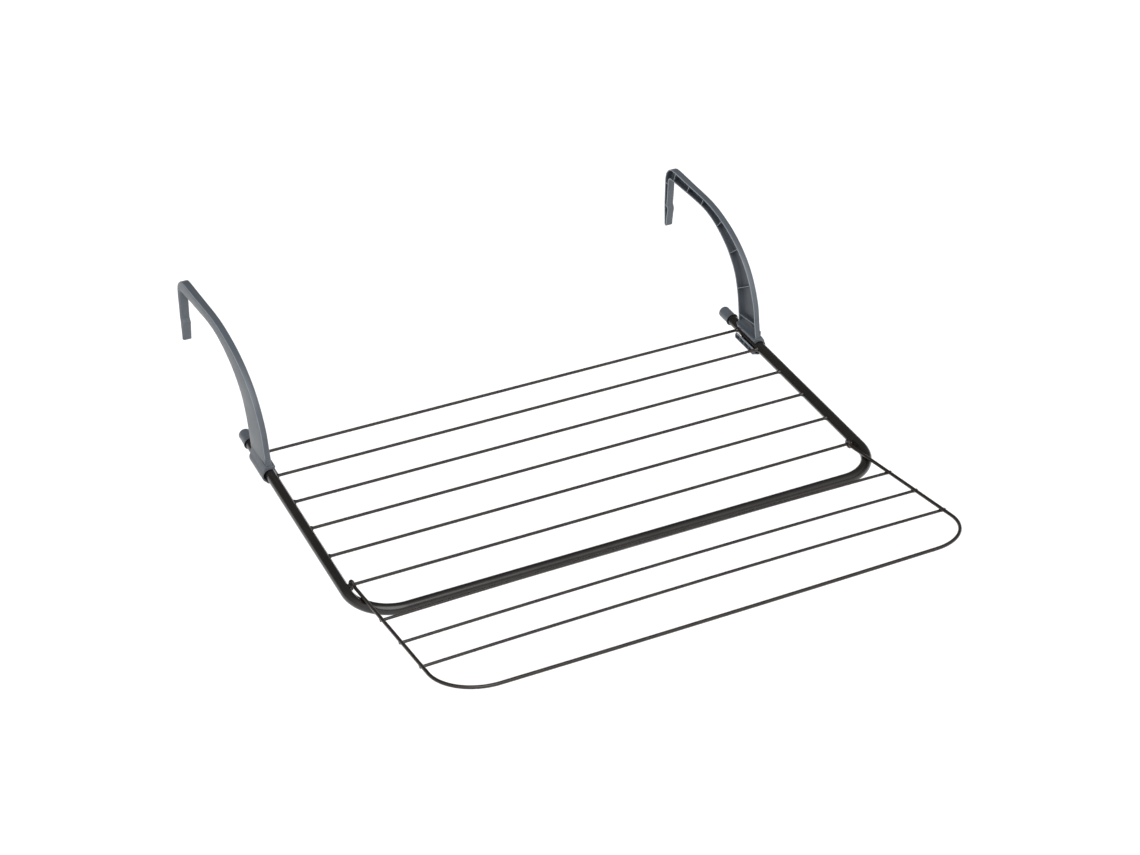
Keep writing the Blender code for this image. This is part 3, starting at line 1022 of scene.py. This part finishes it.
    def build_sleeve(self) -> bpy.types.Object:
        """The C-shaped sleeve with its flared mouth and the cored strip under the tube.

        Returns:
            The sleeve.
        """
        half = self.sleeve_length / 2 * MM
        bm = bmesh.new()
        rings = []
        for i in range(self.sleeve_stations + 1):
            share = i / self.sleeve_stations
            y = SLEEVE_Y - half + 2 * half * share
            ring = []
            for x, up in self.sleeve_section(share):
                moving = x < self.moving_x and up < self.moving_up
                set_back = -self.wire_room * share if moving else self.sleeve_set_back
                ring.append(self.across(x, up, y + set_back * MM))
            rings.append(ring)
        strip_start = len(rings[0]) - len(self.strip)
        # Painted highlight on the strip's top edge, painted shade in its recessed cells.
        loft(bm, rings, {strip_start + i: skin.value for i, skin in enumerate(self.strip_skins)})
        pitch = (2 * half - 2 * self.end_tick_inset * MM) / self.cells
        for i in range(self.cells + 1):
            y = SLEEVE_Y - half + self.end_tick_inset * MM + i * pitch
            edges = (y - self.tick_half * MM, y + self.tick_half * MM)
            loft(bm, [[self.across(x, up, edge) for x, up in self.tick] for edge in edges])
        name = f"{self.side.name.lower()}_arm_sleeve"
        obj = new_object(name, bm, Surface.MOULDED_POLYPROPYLENE)
        self.add_painted_light_materials(obj)
        rounding = obj.modifiers.new("rounded_edges", "BEVEL")
        rounding.width = self.edge_round * MM
        rounding.segments = 2
        rounding.limit_method = "ANGLE"
        rounding.angle_limit = math.radians(40)
        return obj

    def add_painted_light_materials(self, obj: bpy.types.Object) -> None:
        """Give a moulding its two painted-light materials: a darker copy for painted shade and a paler
        copy for painted highlight.
        """
        for surface in (Surface.CORE_SIDE_POLYPROPYLENE, Surface.TRIMMED_POLYPROPYLENE):
            obj.data.materials.append(surface.value.material())

    def build(self) -> None:
        """Build the arm and its sleeve and put them on their body."""
        body = Body[f"{self.side.name}_ARM"]
        bm = bmesh.new()
        self.add_channel(bm)
        self.add_ribs(bm)
        self.add_floor(bm)
        arm = new_object(f"{self.side.name.lower()}_arm_channel", bm, Surface.MOULDED_POLYPROPYLENE)
        self.add_painted_light_materials(arm)
        publish(arm, body, Slot.PLASTIC, f"{self.side.name.lower()}_hook_arm")
        publish(self.build_sleeve(), body, Slot.PLASTIC)


# ---------------------------------------------------------------- studio

@dataclass
class Studio:
    """A pale sweep, soft lights and the camera."""

    azimuth_deg: float = -25.89
    elevation_deg: float = 34.55
    roll_deg: float = 0.376
    distance_m: float = 2.545
    lens_mm: float = 74.27
    floor_drop_m: float = 0.55
    floor_size_m: float = 40.0
    key_level: float = 2.0
    key_width_deg: float = 55.0
    key_from: tuple[float, float, float] = (-0.45, -1.2, 2.3)
    bright_side: tuple[float, float, float] = (-0.3, -0.9, 0.3)
    surround_seen: float = 0.97
    surround_dark: float = 0.16
    surround_light: float = 1.15

    def target(self) -> Vector:
        """The point that the camera looks at."""
        return Vector((0.0281, FIRST_WIRE_Y - 0.0965, 0.0))

    def build_floor(self) -> None:
        """The paper floor, well below the hanging rack."""
        bm = bmesh.new()
        half = self.floor_size_m / 2
        low = -self.floor_drop_m
        corners = [(-half, -half), (half, -half), (half, half), (-half, half)]
        loft(bm, [[Vector((x, y, low + lift)) for x, y in corners] for lift in (-0.01, 0.0)])
        new_object("floor", bm, Surface.STUDIO_PAPER)

    def build_key(self) -> None:
        """One very wide soft light from above the front left, even over the whole floor."""
        light = bpy.data.lights.new("key", "SUN")
        light.angle = math.radians(self.key_width_deg)
        light.energy = self.key_level
        obj = bpy.data.objects.new("key", light)
        obj.rotation_mode = "QUATERNION"
        obj.rotation_quaternion = Vector(self.key_from).to_track_quat("Z", "Y")
        bpy.context.scene.collection.objects.link(obj)

    def build_world(self) -> None:
        """A white surround, brighter to the front left, which shows as an even pale backdrop."""
        world = bpy.data.worlds.new("white_surround")
        world.use_nodes = True
        tree = world.node_tree
        place = add_node(tree, "ShaderNodeTexCoord")
        towards = add_node(
            tree,
            "ShaderNodeVectorMath",
            {"operation": "DOT_PRODUCT"},
            {"Vector": place.outputs["Generated"]},
        )
        towards.inputs[1].default_value = Vector(self.bright_side).normalized()
        level = add_node(
            tree,
            "ShaderNodeMapRange",
            {
                "interpolation_type": "SMOOTHSTEP",
                "From Min": -0.5,
                "From Max": 0.85,
                "To Min": self.surround_dark,
                "To Max": self.surround_light,
            },
            {"Value": towards.outputs["Value"]},
        )
        lit = add_node(tree, "ShaderNodeBackground", links={"Strength": level.outputs["Result"]})
        seen = add_node(tree, "ShaderNodeBackground", {"Strength": self.surround_seen})
        rays = add_node(tree, "ShaderNodeLightPath")
        chosen = add_node(tree, "ShaderNodeMixShader", links={"Fac": rays.outputs["Is Camera Ray"]})
        tree.links.new(lit.outputs["Background"], chosen.inputs[1])
        tree.links.new(seen.outputs["Background"], chosen.inputs[2])
        tree.links.new(chosen.outputs["Shader"], tree.nodes["World Output"].inputs["Surface"])
        for background in (lit, seen):
            background.inputs["Color"].default_value = (1, 1, 1, 1)
        bpy.context.scene.world = world
        bpy.context.scene.view_settings.view_transform = "Standard"

    def build_camera(self) -> None:
        """The camera at its viewing angle."""
        azimuth = math.radians(self.azimuth_deg)
        elevation = math.radians(self.elevation_deg)
        towards = Vector(
            (
                math.sin(azimuth) * math.cos(elevation),
                -math.cos(azimuth) * math.cos(elevation),
                math.sin(elevation),
            )
        )
        lens = bpy.data.cameras.new("camera")
        lens.lens = self.lens_mm
        lens.clip_end = 100
        camera = bpy.data.objects.new("camera", lens)
        camera.location = self.target() + self.distance_m * towards
        camera.rotation_mode = "QUATERNION"
        roll = Quaternion((0, 0, 1), math.radians(self.roll_deg))
        camera.rotation_quaternion = towards.to_track_quat("Z", "Y") @ roll
        bpy.context.scene.collection.objects.link(camera)
        bpy.context.scene.camera = camera

    def build(self) -> None:
        """Set up everything that isn't the rack."""
        self.build_floor()
        self.build_world()
        self.build_key()
        self.build_camera()


def main() -> None:
    """Build the rack and the studio."""
    logging.basicConfig(level=logging.INFO, format="%(name)s %(message)s")
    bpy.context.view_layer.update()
    MainFrame().build()
    for side in Side:
        EndCap(side).build()
    Wing().build()
    for side in Side:
        HookArm(side).build()
    Studio().build()


if __name__ == "__main__":
    main()
